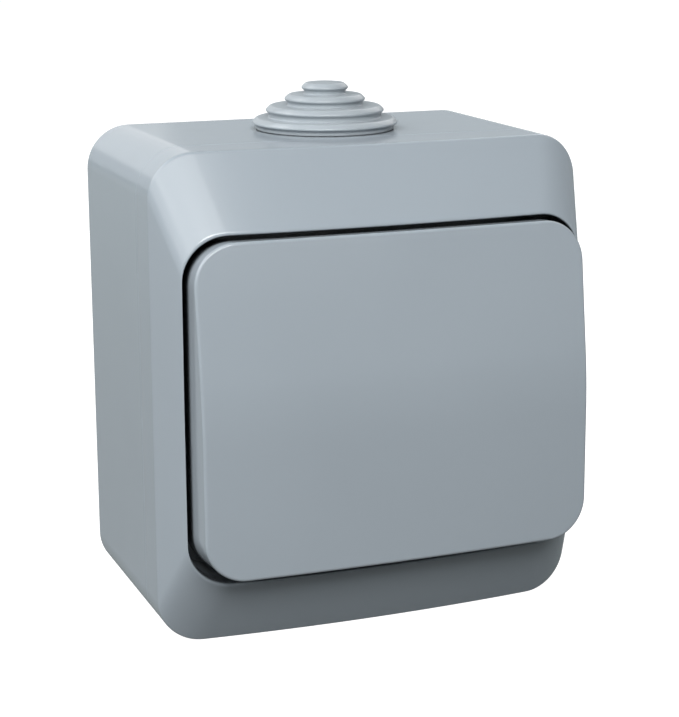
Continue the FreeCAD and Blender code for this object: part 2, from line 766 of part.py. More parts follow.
def cover_screws():
    return Part.makeCompound([
        screw(x, z, tray_floor_depth, cover_screw_length, screw_radius, screw_head_radius, screw_head_height)
        for x, z in cover_screw_spots])


def mechanism_screws():
    return Part.makeCompound([
        screw(x, z, ear_back_depth + ear_plate, mechanism_screw_length, screw_radius,
              screw_head_radius, screw_head_height)
        for x, z in mechanism_screw_spots])


os.makedirs("parts", exist_ok=True)
for name, shape in [
    ("back_box", back_box()),
    ("cable_grommet", cable_grommet()),
    ("front_cover", front_cover()),
    ("cover_gasket", cover_gasket()),
    ("cover_screws", cover_screws()),
    ("rocker", rocker()),
    ("rocker_boot", rocker_boot()),
    ("plunger", plunger()),
    ("plunger_spring", plunger_spring()),
    ("mechanism_base", mechanism_base()),
    ("mechanism_plate", mechanism_plate()),
    ("plate_rivets", plate_rivets()),
    ("mechanism_screws", mechanism_screws()),
    ("contact_lever", contact_lever()),
    ("lever_tips", lever_tips()),
    ("common_contact", common_contact()),
    ("upper_contact", way_strip(1, 0, strip_front_depth)),
    ("lower_contact", way_strip(-1, 0, strip_front_depth)),
    ("fixed_tips", fixed_tips()),
    ("terminal_clamps", terminal_clamps()),
    ("terminal_screws", terminal_screws()),
    ("park_terminal", park_terminal()),
    ("park_screws", park_screws()),
]:
    save(name, shape)
    print(name, len(shape.Solids), "solids", round(shape.Volume, 1), "mm3", "valid", shape.isValid())
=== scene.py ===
import math

import bmesh
import bpy
from mathutils import Matrix, Vector


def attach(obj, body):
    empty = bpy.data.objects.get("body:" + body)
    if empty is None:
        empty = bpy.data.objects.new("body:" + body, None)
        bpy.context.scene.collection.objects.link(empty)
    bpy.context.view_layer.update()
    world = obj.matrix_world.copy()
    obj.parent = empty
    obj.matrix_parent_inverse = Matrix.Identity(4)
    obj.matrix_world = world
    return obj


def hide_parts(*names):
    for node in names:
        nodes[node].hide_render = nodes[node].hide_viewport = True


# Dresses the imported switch: outer shells, turned parts, finishes, lamps, floor and camera.
# Sizes in the dictionaries are millimetres and degrees unless a note says otherwise.

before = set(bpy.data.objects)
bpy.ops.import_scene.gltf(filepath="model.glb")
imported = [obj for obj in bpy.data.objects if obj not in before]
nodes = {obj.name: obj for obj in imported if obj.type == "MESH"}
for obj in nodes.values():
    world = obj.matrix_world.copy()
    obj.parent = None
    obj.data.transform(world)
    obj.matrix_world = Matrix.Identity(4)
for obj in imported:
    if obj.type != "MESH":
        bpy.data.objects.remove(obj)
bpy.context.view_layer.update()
mm = 0.001
weldGap = 0.002 * mm  # points closer than this are one point
flatWithin = math.radians(0.3)  # faces that bend less than this are one flat face


# Every point is written as across, in front of the wall, up
def place(x, depth, z):
    return Vector((x * mm, -depth * mm, z * mm))


# Mesh building

def addPoints(verts, points):
    first = len(verts)
    verts.extend(points)
    return list(range(first, len(verts)))


def bridgeLoops(faces, loopA, loopB):
    count = len(loopA)
    for i in range(count):
        j = (i + 1) % count
        faces.append((loopA[i], loopA[j], loopB[j], loopB[i]))


# Joins a flat outline to a second one and caps both ends
def addPrism(verts, faces, nearSide, farSide):
    loopA = addPoints(verts, nearSide)
    loopB = addPoints(verts, farSide)
    bridgeLoops(faces, loopA, loopB)
    faces.append(tuple(loopA))
    faces.append(tuple(reversed(loopB)))


def addBlock(verts, faces, xs, depths, zs):
    corners = [(xs[0], zs[0]), (xs[1], zs[0]), (xs[1], zs[1]), (xs[0], zs[1])]
    addPrism(verts, faces, [place(x, depths[0], z) for x, z in corners],
             [place(x, depths[1], z) for x, z in corners])


# Offsets of the points round a circle
def circlePoints(radius, steps=32):
    turns = [2 * math.pi * i / steps for i in range(steps)]
    return [(radius * math.cos(turn), radius * math.sin(turn)) for turn in turns]


def addPin(verts, faces, xs, depth, z, radius):
    rims = [[place(x, depth + a, z + b) for a, b in circlePoints(radius)] for x in xs]
    addPrism(verts, faces, *rims)


def addBore(verts, faces, x, depths, z, radius):
    rims = [[place(x + a, depth, z + b) for a, b in circlePoints(radius)] for depth in depths]
    addPrism(verts, faces, *rims)


# A lug from its root to a half circle round the pivot
def addLug(verts, faces, xs, root, pivot, radius, steps):
    away = 1 if pivot > root else -1
    turns = [math.pi * i / steps for i in range(steps + 1)]
    profile = [(root, -radius)]
    profile += [(pivot + away * radius * math.sin(turn), -radius * math.cos(turn)) for turn in turns]
    profile.append((root, radius))
    ends = [[place(x, depth, z) for depth, z in profile] for x in xs]
    addPrism(verts, faces, *ends)


def makeObject(name, verts, faces):
    mesh = bpy.data.meshes.new(name)
    mesh.from_pydata(verts, [], faces)
    mesh.update()
    obj = bpy.data.objects.new(name, mesh)
    bpy.context.scene.collection.objects.link(obj)
    return obj


def faceOutwards(obj):
    work = bmesh.new()
    work.from_mesh(obj.data)
    bmesh.ops.remove_doubles(work, verts=work.verts, dist=weldGap)
    bmesh.ops.recalc_face_normals(work, faces=work.faces)
    work.to_mesh(obj.data)
    work.free()


# Smooth shading that keeps real edges, with the broad faces ruling the normals
def shadeSurface(obj, edgeAngle=32.0):
    obj.data.shade_smooth()
    obj.data.set_sharp_from_angle(angle=math.radians(edgeAngle))
    normals = obj.modifiers.new("broadFaces", "WEIGHTED_NORMAL")
    normals.keep_sharp = True
    normals.weight = 100


# Replaces an object's mesh by its evaluated one, so that no modifier is left on it
def settleModifiers(obj):
    settled = bpy.data.meshes.new_from_object(
        obj.evaluated_get(bpy.context.evaluated_depsgraph_get()))
    obj.modifiers.clear()
    obj.data = settled
    obj.data.name = obj.name


def cutAway(obj, verts, faces):
    cutter = makeObject("cutter", verts, faces)
    faceOutwards(cutter)
    carve = obj.modifiers.new("carve", "BOOLEAN")
    carve.operation = "DIFFERENCE"
    carve.solver = "EXACT"
    carve.object = cutter
    settleModifiers(obj)
    bpy.data.objects.remove(cutter)


def joinMeshes(target, extra):
    work = bmesh.new()
    work.from_mesh(target.data)
    work.from_mesh(extra.data)
    work.to_mesh(target.data)
    work.free()
    bpy.data.objects.remove(extra)


# A finish's name is also the name of its slot
def dress(obj, body, finish, nodeName):
    obj.data.materials.clear()
    obj.data.materials.append(finishes[finish])
    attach(obj, body)
    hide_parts(nodeName)


# A welded copy of a CAD node with each flat face in one piece, so that round faces run smoothly into it
def weldedCopy(nodeName, name):
    obj = bpy.data.objects.new(name, nodes[nodeName].data.copy())
    obj.data.name = name
    bpy.context.scene.collection.objects.link(obj)
    work = bmesh.new()
    work.from_mesh(obj.data)
    bmesh.ops.remove_doubles(work, verts=work.verts, dist=weldGap)
    bmesh.ops.dissolve_limit(work, angle_limit=flatWithin, verts=work.verts, edges=work.edges)
    work.to_mesh(obj.data)
    work.free()
    shadeSurface(obj)
    return obj


# A rounded rectangle of points, clockwise as seen from the front, starting at the top right corner.
# depthAt gives the depth of the point that lies at x, z
def roundedLoop(halfWidth, halfHeight, radius, depthAt, steps):
    flat = []
    spots = [(1, 1, 90), (1, -1, 0), (-1, -1, -90), (-1, 1, 180)]
    for number, (side, end, start) in enumerate(spots):
        for i in range(steps["corner"] + 1):
            turn = math.radians(start - 90 * i / steps["corner"])
            flat.append((side * (halfWidth - radius) + radius * math.cos(turn),
                         end * (halfHeight - radius) + radius * math.sin(turn)))
        along = steps["side"] if number % 2 == 0 else steps["end"]
        last = flat[-1]
        if number % 2 == 0:
            nextPoint = (last[0], -last[1])
        else:
            nextPoint = (-last[0], last[1])
        for i in range(1, along):
            share = i / along
            flat.append((last[0] + (nextPoint[0] - last[0]) * share,
                         last[1] + (nextPoint[1] - last[1]) * share))
    return [place(x, depthAt(x, z), z) for x, z in flat]


# The point at a share of the way round a corner, on a curve that leaves both sides in line
def cornerPoint(start, corner, end, share):
    return start * (1 - share) ** 2 + corner * 2 * share * (1 - share) + end * share ** 2


# Rounds the edge between two ruled bands: loops from one tangent point to the other
def roundedEdge(before, edge, after, reach, steps):
    rows = []
    for i in range(steps + 1):
        row = []
        for a, e, b in zip(before, edge, after):
            start = e + (a - e).normalized() * reach * mm
            end = e + (b - e).normalized() * reach * mm
            row.append(cornerPoint(start, e, end, i / steps))
        rows.append(row)
    return rows


# Node building

def fillInputs(tree, node, inputs):
    for key, value in inputs.items():
        if isinstance(value, bpy.types.NodeSocket):
            tree.links.new(value, node.inputs[key])
        else:
            node.inputs[key].default_value = value


def addNode(tree, kind, inputs=None, **settings):
    node = tree.nodes.new(kind)
    for key, value in settings.items():
        setattr(node, key, value)
    fillInputs(tree, node, inputs or {})
    return node


def addMath(tree, operation, *values):
    return addNode(tree, "ShaderNodeMath", dict(enumerate(values)), operation=operation).outputs[0]


def mapValue(tree, source, fromLow, fromHigh, toLow, toHigh):
    ramp = addNode(tree, "ShaderNodeMapRange", {
        "Value": source, "From Min": fromLow, "From Max": fromHigh, "To Min": toLow, "To Max": toHigh})
    return ramp.outputs["Result"]


# Spreads a noise's values evenly to both sides of a middle value
def spreadAbout(tree, source, span, middle, spread):
    return mapValue(tree, source, *span, middle - spread, middle + spread)


def mixTones(tree, factor, first, second):
    mix = addNode(tree, "ShaderNodeMix", {
        "Factor": factor, "A": (*first, 1), "B": (*second, 1)}, data_type="RGBA")
    return mix.outputs["Result"]


# Finishes

def startMaterial(name):
    material = bpy.data.materials.new(name)
    material.use_nodes = True
    tree = material.node_tree
    where = addNode(tree, "ShaderNodeTexCoord").outputs["Object"]
    return material, tree, tree.nodes["Principled BSDF"], where


def addNoise(tree, where, scale, detail, stretch=None):
    if stretch:
        where = addNode(tree, "ShaderNodeMapping", {"Vector": where, "Scale": stretch}).outputs["Vector"]
    noise = addNode(tree, "ShaderNodeTexNoise", {"Vector": where, "Scale": scale, "Detail": detail})
    return noise.outputs["Fac"]


def addBump(tree, height, distance, under=None):
    bump = addNode(tree, "ShaderNodeBump", {"Height": height, "Strength": 1.0, "Distance": distance})
    if under:
        tree.links.new(under, bump.inputs["Normal"])
    return bump.outputs["Normal"]


def shadeTone(colour, factor):
    return tuple(channel * factor for channel in colour)


# Painted shade: fades the tone towards near black where other surfaces within reach shut it in
def paintCreviceShade(tree, tone, look):
    paintedCreviceShade = addNode(tree, "ShaderNodeAmbientOcclusion", {"Distance": look["reach"]}, samples=8)
    openShare = mapValue(tree, paintedCreviceShade.outputs["AO"], *look["openSpan"], 0, 1)
    paintedShadeMix = addNode(tree, "ShaderNodeMix", {
        "Factor": openShare, "A": (*look["colour"], 1), "B": tone}, data_type="RGBA")
    return paintedShadeMix.outputs["Result"]


# Injection moulded plastic: faint flow tones, a little sink waviness and a fine spark eroded grain, with
# painted shade in its crevices where the look asks for it
def mouldedPlastic(name, look):
    material, tree, shader, where = startMaterial(name)
    flow = mapValue(tree, addNoise(tree, where, look["flowScale"], detail=3), *look["noiseSpan"], 0, 1)
    tone = mixTones(tree, flow, shadeTone(look["colour"], 1 - look["toneSpread"]),
                    shadeTone(look["colour"], 1 + look["toneSpread"]))
    # painted shade: the tone darkens where the switch's own surfaces close round it, as in the gaps round
    # the key
    if "paintedCreviceShade" in look:
        tone = paintCreviceShade(tree, tone, look["paintedCreviceShade"])
    gloss = addNoise(tree, where, look["glossScale"], detail=4)
    sink = addBump(tree, addNoise(tree, where, look["sinkScale"], detail=1), look["sinkHeight"])
    grain = addNoise(tree, where, look["grainScale"], detail=2)
    fillInputs(tree, shader, {
        "Base Color": tone, "IOR": look["ior"],
        "Roughness": spreadAbout(tree, gloss, look["noiseSpan"], look["roughness"], look["glossSpread"]),
        "Normal": addBump(tree, grain, look["grainHeight"], sink)})
    return material


# Rubber: duller than the plastic, with a bloom that gathers in patches
def softRubber(name, look):
    material, tree, shader, where = startMaterial(name)
    bloom = mapValue(tree, addNoise(tree, where, look["bloomScale"], detail=5), *look["bloomSpan"], 0, 1)
    grain = addNoise(tree, where, look["grainScale"], detail=3)
    fillInputs(tree, shader, {
        "Base Color": mixTones(tree, bloom, look["colour"], look["bloomColour"]), "IOR": look["ior"],
        "Roughness": mapValue(tree, bloom, 0, 1, look["roughness"], look["bloomRoughness"]),
        "Normal": addBump(tree, grain, look["grainHeight"])})
    return material


# Metal with drawn or rolled lines along one axis, and tarnish in patches
def workedMetal(name, look):
    material, tree, shader, where = startMaterial(name)
    tarnish = addNoise(tree, where, look["tarnishScale"], detail=5)
    tarnish = mapValue(tree, tarnish, *look["tarnishSpan"], 0, 1)
    lines = addNoise(tree, where, look["lineScale"], detail=3, stretch=look["lineStretch"])
    fillInputs(tree, shader, {
        "Base Color": mixTones(tree, tarnish, look["colour"], look["tarnishColour"]), "Metallic": 1.0,
        "Roughness": spreadAbout(tree, lines, look["lineSpan"], look["roughness"], look["lineSpread"]),
        "Normal": addBump(tree, lines, look["lineHeight"])})
    return material


# Linear colours, scales per metre, reach and heights in metres. A span is the range of values in use
greyPlastic = {
    "colour": (0.300, 0.342, 0.378), "toneSpread": 0.02, "flowScale": 28.0, "noiseSpan": (0.3, 0.7),
    "roughness": 0.15, "glossSpread": 0.015, "glossScale": 90.0, "ior": 1.5,
    "sinkScale": 60.0, "sinkHeight": 0.000006, "grainScale": 3000.0, "grainHeight": 0.0000003,
    # painted shade in gaps and crevices: near black where surfaces within reach close in
    "paintedCreviceShade": {"reach": 0.004, "openSpan": (0.14, 0.66), "colour": (0.003, 0.003, 0.003)},
}
keyPlastic = dict(greyPlastic, flowScale=22.0, roughness=0.13)
grommetRubber = {
    "colour": (0.315, 0.352, 0.380), "bloomColour": (0.325, 0.361, 0.388), "bloomScale": 420.0,
    "bloomSpan": (0.4, 0.75), "roughness": 0.29, "bloomRoughness": 0.33, "ior": 1.48,
    "grainScale": 4200.0, "grainHeight": 0.000003,
}
sealRubber = {
    "colour": (0.030, 0.031, 0.032), "bloomColour": (0.055, 0.056, 0.058), "bloomScale": 380.0,
    "bloomSpan": (0.4, 0.75), "roughness": 0.52, "bloomRoughness": 0.68, "ior": 1.48,
    "grainScale": 3600.0, "grainHeight": 0.000004,
}
whiteMoulding = {
    "colour": (0.66, 0.65, 0.61), "toneSpread": 0.03, "flowScale": 60.0, "noiseSpan": (0.3, 0.7),
    "roughness": 0.46, "glossSpread": 0.06, "glossScale": 420.0, "ior": 1.5,
    "sinkScale": 180.0, "sinkHeight": 0.00001, "grainScale": 6200.0, "grainHeight": 0.000004,
}
darkMoulding = dict(whiteMoulding, colour=(0.045, 0.046, 0.048), roughness=0.42, toneSpread=0.08)
platedSteel = {
    "colour": (0.66, 0.66, 0.64), "tarnishColour": (0.50, 0.49, 0.46), "tarnishScale": 520.0,
    "tarnishSpan": (0.42, 0.7), "roughness": 0.30, "lineSpread": 0.08, "lineSpan": (0.25, 0.75),
    "lineScale": 900.0, "lineStretch": (1, 6, 1), "lineHeight": 0.000002,
}
drawnSteel = dict(platedSteel, colour=(0.60, 0.60, 0.61), roughness=0.22, lineStretch=(4, 0.6, 4))
springWire = dict(drawnSteel, colour=(0.47, 0.46, 0.45), tarnishColour=(0.32, 0.30, 0.28),
                  roughness=0.26)
rolledBrass = {
    "colour": (0.78, 0.57, 0.24), "tarnishColour": (0.58, 0.38, 0.15), "tarnishScale": 340.0,
    "tarnishSpan": (0.42, 0.7), "roughness": 0.30, "lineSpread": 0.09, "lineSpan": (0.25, 0.75),
    "lineScale": 1400.0, "lineStretch": (6, 1, 0.4), "lineHeight": 0.000002,
}
contactSilver = dict(rolledBrass, colour=(0.88, 0.87, 0.84), tarnishColour=(0.52, 0.49, 0.44),
                     roughness=0.24)

finishes = {
    "housing": mouldedPlastic("greyHousing", greyPlastic),
    "key": mouldedPlastic("greyKey", keyPlastic),
    "grommet": softRubber("greyGrommet", grommetRubber),
    "seal": softRubber("blackSeal", sealRubber),
    "plated_steel": workedMetal("platedSteel", platedSteel),
    "steel_pin": workedMetal("drawnSteel", drawnSteel),
    "spring_steel": workedMetal("springWire", springWire),
    "mechanism_moulding": mouldedPlastic("whiteMoulding", whiteMoulding),
    "mechanism_plate_moulding": mouldedPlastic("darkMoulding", darkMoulding),
    "brass": workedMetal("rolledBrass", rolledBrass),
    "silver": workedMetal("contactSilver", contactSilver),
}
print("finishes made:", len(finishes))


# Casing

backBox = weldedCopy("back_box", "backBox")
dress(backBox, "casing", "housing", "back_box")
print("back box shaded")

coverShape = {
    "halfWidth": 34.5, "halfHeight": 37.5, "cornerRadius": 6.9, "wall": 2.4,
    "seamDepth": 28.84, "seamChamfer": 0.1,
    "creaseDepth": 35.04, "creaseBow": 2.03, "creaseReach": 0.35,
    "trayHalfWidth": 31.7, "trayHalfHeight": 26.15, "trayRadius": 6.7,
    "lipDepth": 42.65, "lipBow": 1.6, "lipReach": 1.0,
    "floorDepth": 33.0, "panBack": 31.0, "slotHalf": (7.05, 5.98), "slotRadius": 2.0,
    "steps": {"corner": 20, "side": 24, "end": 32}, "roundSteps": 10,
    "pocketX": 26.0, "pocketZ": (28.15, 33.5), "pocketSteps": 12, "pocketBow": 1.827, "bevelWall": 2.3,
    "screwSpots": [(-22.0, 17.0), (22.0, -17.0)], "screwHole": 1.65,
    "earX": (26.5, 28.6), "earRadius": 2.95, "earSteps": 24, "pinHole": 1.55, "pivotDepth": 35.4,
    "stopHalfWidth": 5.0, "stopZ": (23.06, 24.86), "stopDepth": 34.63,
    "rimX": (30.75, 31.95), "rimDepth": 26.84,
    "sunkIn": 0.5, "cutOver": 1.0,  # fittings sink in and cutters run past by these
}


def bowed(sideDepth, bow, halfWidth):
    return lambda x, z: sideDepth + bow * (1 - (x / halfWidth) ** 2)


# Wall, bevels, tray and slot as one closed ring of loops
def makeCoverShell(shape):
    steps, roundSteps = shape["steps"], shape["roundSteps"]
    outline = (shape["halfWidth"], shape["halfHeight"], shape["cornerRadius"])
    tray = (shape["trayHalfWidth"], shape["trayHalfHeight"], shape["trayRadius"])
    slot = (*shape["slotHalf"], shape["slotRadius"])
    footOutline = [size - shape["seamChamfer"] for size in outline]
    inner = [size - shape["wall"] for size in outline]

    def flatLoop(sizes, depth):
        return roundedLoop(*sizes, lambda x, z: depth, steps)

    seam = flatLoop(outline, shape["seamDepth"] + shape["seamChamfer"])
    crease = roundedLoop(*outline, bowed(shape["creaseDepth"], shape["creaseBow"], outline[0]), steps)
    lip = roundedLoop(*tray, bowed(shape["lipDepth"], shape["lipBow"], tray[0]), steps)
    floorEdge = flatLoop(tray, shape["floorDepth"])

    rows = [flatLoop(footOutline, shape["seamDepth"]), seam]
    rows += roundedEdge(seam, crease, lip, shape["creaseReach"], roundSteps)
    rows += roundedEdge(crease, lip, floorEdge, shape["lipReach"], roundSteps)
    rows += [floorEdge, flatLoop(slot, shape["floorDepth"]), flatLoop(slot, shape["panBack"])]
    rows += [flatLoop(inner, shape["panBack"]), flatLoop(inner, shape["seamDepth"])]

    verts, faces = [], []
    loops = [addPoints(verts, row) for row in rows]
    for loopA, loopB in zip(loops, loops[1:] + loops[:1]):
        bridgeLoops(faces, loopA, loopB)
    shell = makeObject("frontCover", verts, faces)
    faceOutwards(shell)
    return shell


# Hollows behind the upper and lower bevels, and the screw holes
def carveCover(cover, shape):
    verts, faces = [], []
    trayTop = shape["trayHalfHeight"]
    slope = (shape["lipDepth"] - shape["creaseDepth"]) / (shape["halfHeight"] - trayTop)
    bow = bowed(0, shape["pocketBow"], shape["halfWidth"])
    behind = shape["panBack"] - shape["cutOver"]
    count = shape["pocketSteps"]
    xs = [shape["pocketX"] * (2 * i / count - 1) for i in range(count + 1)]
    for end in (-1, 1):
        sections = []
        for z in shape["pocketZ"]:
            top = shape["lipDepth"] - slope * (z - trayTop) - shape["bevelWall"]
            edge = [place(x, top + bow(x, z), end * z) for x in xs]
            back = [place(x, behind, end * z) for x in reversed(xs)]
            sections.append(edge + back)
        addPrism(verts, faces, *sections)
    for x, z in shape["screwSpots"]:
        addBore(verts, faces, x, (behind, shape["floorDepth"] + shape["cutOver"]), z, shape["screwHole"])
    cutAway(cover, verts, faces)


# Ears for the hinge pins, the two stops and the rims that sit inside the box
def makeCoverFittings(shape):
    verts, faces = [], []
    pivot, trayTop, over = shape["pivotDepth"], shape["trayHalfHeight"], shape["cutOver"]
    root = shape["floorDepth"] - shape["sunkIn"]
    for side in (-1, 1):
        addLug(verts, faces, [side * x for x in shape["earX"]], root, pivot, shape["earRadius"],
               shape["earSteps"])
        addBlock(verts, faces, (-shape["stopHalfWidth"], shape["stopHalfWidth"]),
                 (root, shape["stopDepth"]), sorted(side * z for z in shape["stopZ"]))
        addBlock(verts, faces, sorted(side * x for x in shape["rimX"]),
                 (shape["rimDepth"], shape["panBack"] + shape["sunkIn"]), (-trayTop, trayTop))
    fittings = makeObject("fittings", verts, faces)
    faceOutwards(fittings)
    verts, faces = [], []
    earNear, earFar = shape["earX"]
    for side in (-1, 1):
        addPin(verts, faces, sorted((side * (earNear - over), side * (earFar + over))), pivot, 0,
               shape["pinHole"])
    cutAway(fittings, verts, faces)
    return fittings


frontCover = makeCoverShell(coverShape)
carveCover(frontCover, coverShape)
joinMeshes(frontCover, makeCoverFittings(coverShape))
shadeSurface(frontCover)
dress(frontCover, "casing", "housing", "front_cover")
print("front cover made:", len(frontCover.data.polygons), "faces")


# Rocker key

keyShape = {
    "halfWidth": 30.9, "halfHeight": 24.859, "cornerRadius": 6.3,
    "rise": 13.9, "halfBend": 3.49, "ridgeRadius": 74.0, "crownRadius": 437.0,
    "edgeRadius": 0.48, "edgeSteps": 8, "skirtRise": 1.5, "sideWall": 1.8, "faceWall": 2.0,
    "pivotDepth": coverShape["pivotDepth"], "restTilt": -4.42,
    "steps": {"corner": 20, "side": 48, "end": 56},
    "ribDrop": 0.6, "braceDrop": 1.6, "braceInset": 1.08, "braceHalf": 0.7, "braceRise": 5.5,
    "ribX": (24.2, 26.2), "ribHalf": 2.1, "ribSteps": 20, "pinX": (25.2, 28.45), "pinRadius": 1.5,
    "postHalf": (4.0, 2.5), "postReach": 10.4, "boreRadius": 1.6, "boreRise": 5.0, "cutOver": 1.0,
}


# Height of the key's face above the pivot: a V softened along its ridge, crowned across
def faceRise(shape, x, z):
    slope = math.radians(shape["halfBend"])
    ridge = shape["ridgeRadius"]
    tangentZ = ridge * math.sin(slope)
    if abs(z) < tangentZ:
        drop = ridge - math.sqrt(ridge ** 2 - z ** 2)
    else:
        drop = ridge * (1 - math.cos(slope)) + (abs(z) - tangentZ) * math.tan(slope)
    crown = shape["crownRadius"]
    return math.sqrt((crown - drop) ** 2 - x ** 2) - crown + shape["rise"]


# Rows and columns over a rounded rectangle. Returns the rim's indices in roundedLoop's order
def addFaceGrid(verts, faces, shape, inset, sunk):
    steps = shape["steps"]
    halfWidth, halfHeight = shape["halfWidth"] - inset, shape["halfHeight"] - inset
    radius = shape["cornerRadius"] - inset
    sideZ = halfHeight - radius
    rowSpots = []
    for i in range(steps["corner"] + 1):
        turn = math.radians(90 - 90 * i / steps["corner"])
        rowSpots.append((sideZ + radius * math.sin(turn), halfWidth - radius + radius * math.cos(turn)))
    for i in range(1, steps["side"]):
        rowSpots.append((sideZ - 2 * sideZ * i / steps["side"], halfWidth))
    rowSpots += [(-z, reach) for z, reach in reversed(rowSpots[:steps["corner"] + 1])]
    grid = []
    for z, reach in rowSpots:
        xs = [reach * (2 * i / steps["end"] - 1) for i in range(steps["end"] + 1)]
        grid.append(addPoints(verts, [
            place(x, shape["pivotDepth"] + faceRise(shape, x, z) - sunk, z) for x in xs]))
    for rowA, rowB in zip(grid, grid[1:]):
        for i in range(steps["end"]):
            faces.append((rowA[i], rowA[i + 1], rowB[i + 1], rowB[i]))
    rim = [row[-1] for row in grid]
    rim += list(reversed(grid[-1][1:-1]))
    rim += [row[0] for row in reversed(grid)]
    rim += grid[0][1:-1]
    return rim


# The bowed face, its rounded edge, the skirt and the inner side
def addKeyShell(verts, faces, shape):
    edge, edgeSteps = shape["edgeRadius"], shape["edgeSteps"]

    def sized(inset, depth):
        return roundedLoop(shape["halfWidth"] - inset, shape["halfHeight"] - inset,
                           shape["cornerRadius"] - inset, lambda x, z: depth, shape["steps"])

    previous = addFaceGrid(verts, faces, shape, edge, 0.0)
    faceEdge = [verts[i].copy() for i in previous]
    for i in range(edgeSteps - 1, -1, -1):
        turn = math.radians(90 * i / edgeSteps)
        loop = sized(edge * (1 - math.cos(turn)), 0.0)
        for point, level in zip(loop, faceEdge):
            point.y = level.y + edge * (1 - math.sin(turn)) * mm
        current = addPoints(verts, loop)
        bridgeLoops(faces, previous, current)
        previous = current
    for inset in (0.0, shape["sideWall"]):
        current = addPoints(verts, sized(inset, shape["pivotDepth"] + shape["skirtRise"]))
        bridgeLoops(faces, previous, current)
        previous = current
    innerRim = addFaceGrid(verts, faces, shape, shape["sideWall"], shape["faceWall"])
    bridgeLoops(faces, previous, innerRim)


# How far in front of the wall the ribs and the post end, drop behind the inner side's crown
def ribEnd(shape, drop):
    return shape["pivotDepth"] + shape["rise"] - shape["faceWall"] - drop


# Cross braces, and the ribs with their pins
def addKeyRibs(verts, faces, shape):
    pivot, half = shape["pivotDepth"], shape["braceHalf"]
    across, up = shape["halfWidth"] - shape["braceInset"], shape["halfHeight"] - shape["braceInset"]
    braceBack, front = pivot + shape["braceRise"], ribEnd(shape, shape["ribDrop"])
    addBlock(verts, faces, (-across, across), (braceBack, front), (-half, half))
    addBlock(verts, faces, (-half, half), (braceBack, ribEnd(shape, shape["braceDrop"])), (-up, up))
    for side in (-1, 1):
        addLug(verts, faces, [side * x for x in shape["ribX"]], front, pivot, shape["ribHalf"],
               shape["ribSteps"])
        addPin(verts, faces, sorted(side * x for x in shape["pinX"]), pivot, 0, shape["pinRadius"])


# The post with the bore of the plunger and its spring
def makeKeyPost(shape):
    pivot = shape["pivotDepth"]
    postX, postZ = shape["postHalf"]
    postBack = pivot - shape["postReach"]
    verts, faces = [], []
    addBlock(verts, faces, (-postX, postX), (postBack, ribEnd(shape, shape["ribDrop"])), (-postZ, postZ))
    post = makeObject("post", verts, faces)
    faceOutwards(post)
    verts, faces = [], []
    addBore(verts, faces, 0, (postBack - shape["cutOver"], pivot + shape["boreRise"]), 0,
            shape["boreRadius"])
    cutAway(post, verts, faces)
    return post


def tiltAtPivot(shape):
    pivotPoint = place(0, shape["pivotDepth"], 0)
    turn = Matrix.Rotation(math.radians(shape["restTilt"]), 4, "X")
    return Matrix.Translation(pivotPoint) @ turn @ Matrix.Translation(-pivotPoint)


def makeRockerKey(shape):
    verts, faces = [], []
    addKeyShell(verts, faces, shape)
    addKeyRibs(verts, faces, shape)
    key = makeObject("rockerKey", verts, faces)
    faceOutwards(key)
    joinMeshes(key, makeKeyPost(shape))
    key.data.transform(tiltAtPivot(shape))
    shadeSurface(key)
    return key


rockerKey = makeRockerKey(keyShape)
dress(rockerKey, "rocker", "key", "rocker")
print("rocker key made:", len(rockerKey.data.polygons), "faces")


# Node trees for the parts that are turned or wound

def startTree(name, sockets):
    tree = bpy.data.node_groups.new(name, "GeometryNodeTree")
    tree.interface.new_socket("Geometry", in_out="OUTPUT", socket_type="NodeSocketGeometry")
    tree.interface.new_socket("Geometry", in_out="INPUT", socket_type="NodeSocketGeometry")
    for socketName, kind in sockets:
        tree.interface.new_socket(socketName, in_out="INPUT", socket_type="NodeSocket" + kind)
    return tree, tree.nodes.new("NodeGroupInput"), tree.nodes.new("NodeGroupOutput")


def finishTree(tree, source, material, groupOutput):
    realize = addNode(tree, "GeometryNodeRealizeInstances", {"Geometry": source})
    coat = addNode(tree, "GeometryNodeSetMaterial", {"Geometry": realize.outputs[0], "Material": material})
    tree.links.new(coat.outputs[0], groupOutput.inputs[0])


